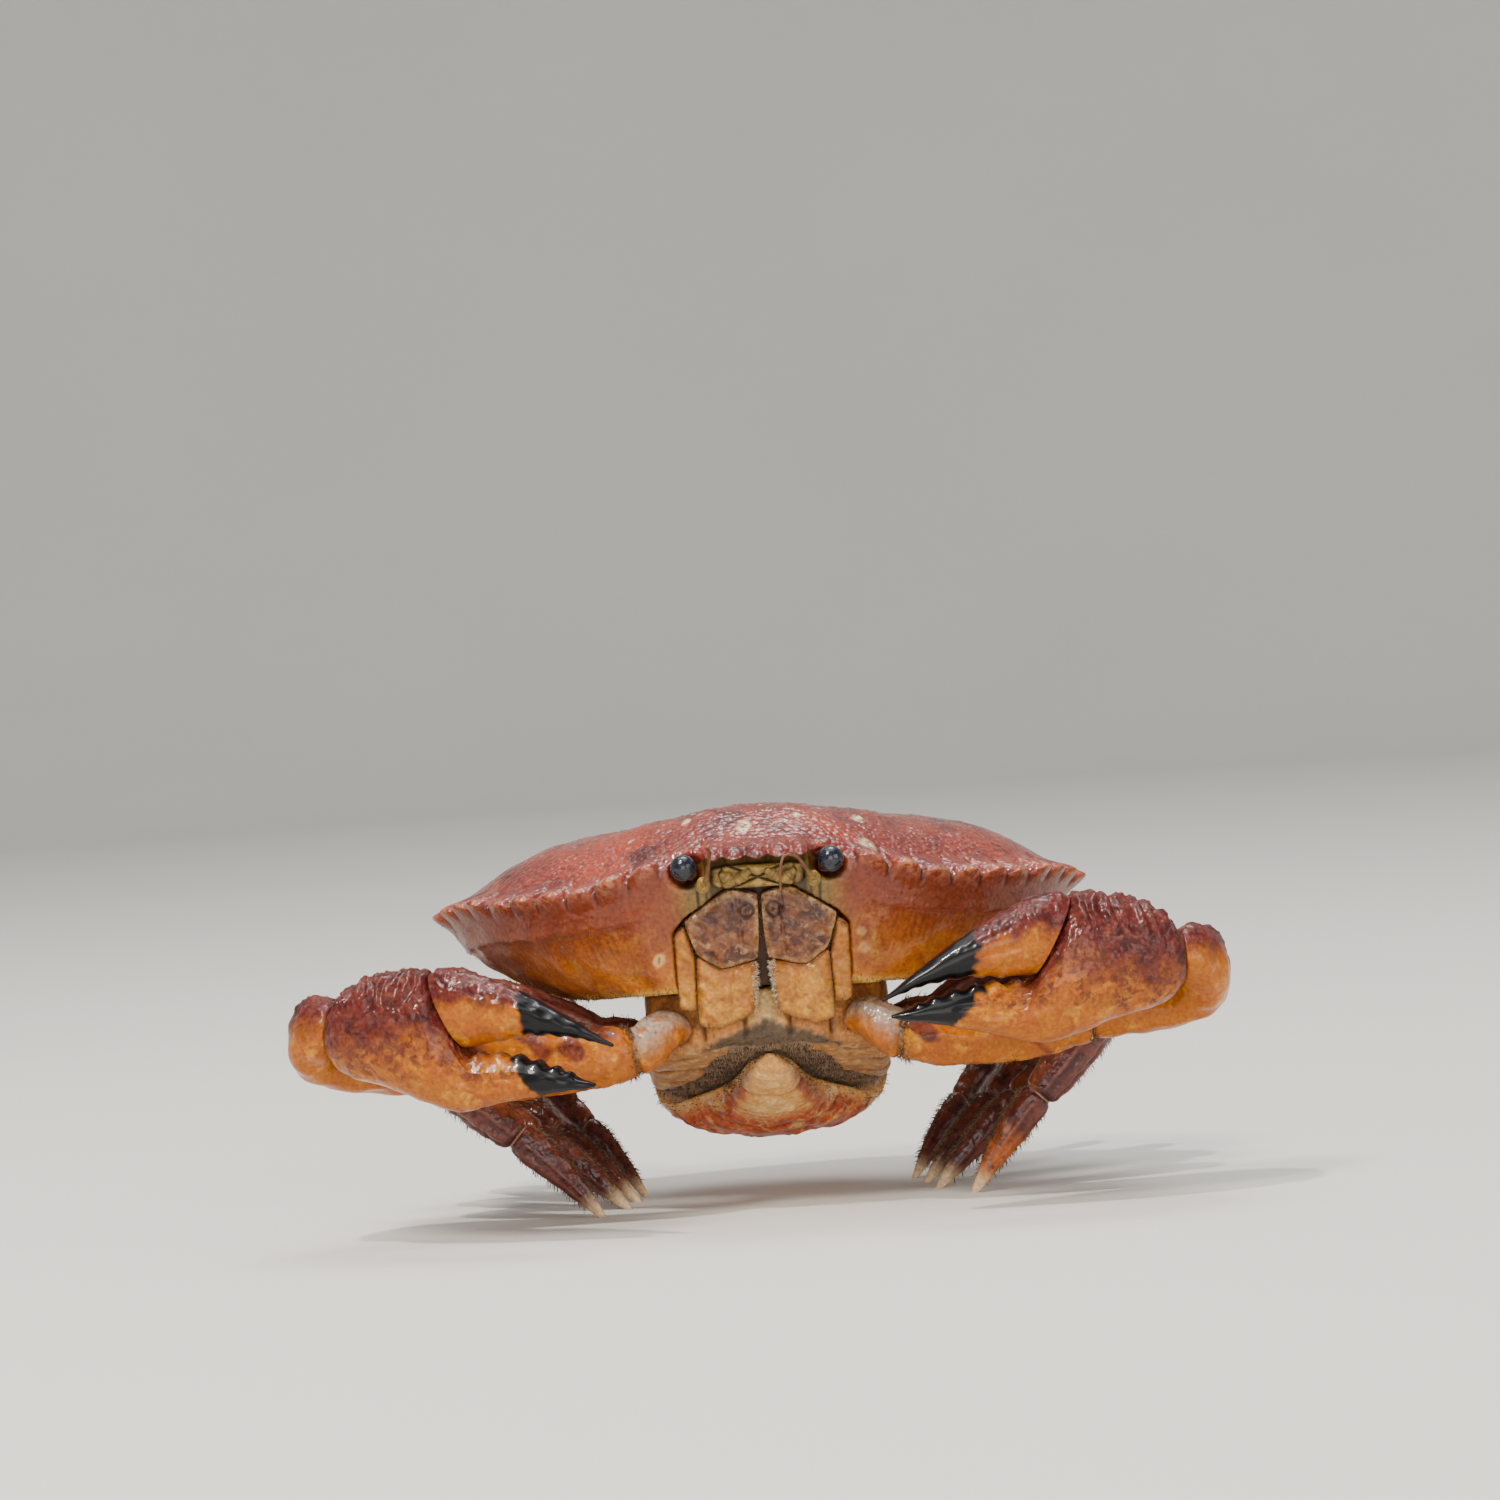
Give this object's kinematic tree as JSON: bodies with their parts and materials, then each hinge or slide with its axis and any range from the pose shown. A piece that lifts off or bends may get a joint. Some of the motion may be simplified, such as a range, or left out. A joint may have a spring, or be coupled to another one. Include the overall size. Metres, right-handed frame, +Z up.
{
  "type": "red rock crab model",
  "caption": "Life-size still model of a red rock crab standing on its walking legs, with black-tipped claws folded in front of a domed, toothed shell.",
  "frame": {"origin": "on the floor, under the middle of the model's bounding box", "axes": "+Z up, -Y the way the crab faces, +X to the crab's left along its width"},
  "size_m": [0.165, 0.0938, 0.0724],
  "materials": {
    "wet_red_shell": "wet gloss",
    "orange_shell": "wet gloss",
    "yellow_tan_shell": "satin",
    "mauve_brown_shell": "satin",
    "black_tip_shell": "gloss",
    "cream_abdomen": "satin",
    "brown_thorax": "matt",
    "blue_grey_cornea": "gloss"
  },
  "bodies": {
    "root": {"carapace": "wet_red_shell", "thorax": "brown_thorax", "abdomen": "cream_abdomen", "face_plate": "yellow_tan_shell", "eye_left": "blue_grey_cornea", "antenna_left": "yellow_tan_shell", "maxilliped_left_merus": "mauve_brown_shell", "maxilliped_left_ischium": "orange_shell", "maxilliped_left_exopod": "orange_shell", "claw_left_coxa": "orange_shell", "claw_left_merus": "orange_shell", "claw_left_carpus": "orange_shell", "claw_left_palm": "wet_red_shell", "claw_left_finger": "black_tip_shell", "leg_left_1_merus": "wet_red_shell", "leg_left_1_carpus": "wet_red_shell", "leg_left_1_propodus": "wet_red_shell", "leg_left_1_dactyl": "wet_red_shell", "leg_left_2_merus": "wet_red_shell", "leg_left_2_carpus": "wet_red_shell", "leg_left_2_propodus": "wet_red_shell", "leg_left_2_dactyl": "wet_red_shell", "leg_left_3_merus": "wet_red_shell", "leg_left_3_carpus": "wet_red_shell", "leg_left_3_propodus": "wet_red_shell", "leg_left_3_dactyl": "wet_red_shell", "leg_left_4_merus": "wet_red_shell", "leg_left_4_carpus": "wet_red_shell", "leg_left_4_propodus": "wet_red_shell", "leg_left_4_dactyl": "wet_red_shell", "eye_right": "blue_grey_cornea", "antenna_right": "yellow_tan_shell", "maxilliped_right_merus": "mauve_brown_shell", "maxilliped_right_ischium": "orange_shell", "maxilliped_right_exopod": "orange_shell", "claw_right_coxa": "orange_shell", "claw_right_merus": "orange_shell", "claw_right_carpus": "orange_shell", "claw_right_palm": "wet_red_shell", "claw_right_finger": "black_tip_shell", "leg_right_1_merus": "wet_red_shell", "leg_right_1_carpus": "wet_red_shell", "leg_right_1_propodus": "wet_red_shell", "leg_right_1_dactyl": "wet_red_shell", "leg_right_2_merus": "wet_red_shell", "leg_right_2_carpus": "wet_red_shell", "leg_right_2_propodus": "wet_red_shell", "leg_right_2_dactyl": "wet_red_shell", "leg_right_3_merus": "wet_red_shell", "leg_right_3_carpus": "wet_red_shell", "leg_right_3_propodus": "wet_red_shell", "leg_right_3_dactyl": "wet_red_shell", "leg_right_4_merus": "wet_red_shell", "leg_right_4_carpus": "wet_red_shell", "leg_right_4_propodus": "wet_red_shell", "leg_right_4_dactyl": "wet_red_shell"}
  },
  "joints": []
}
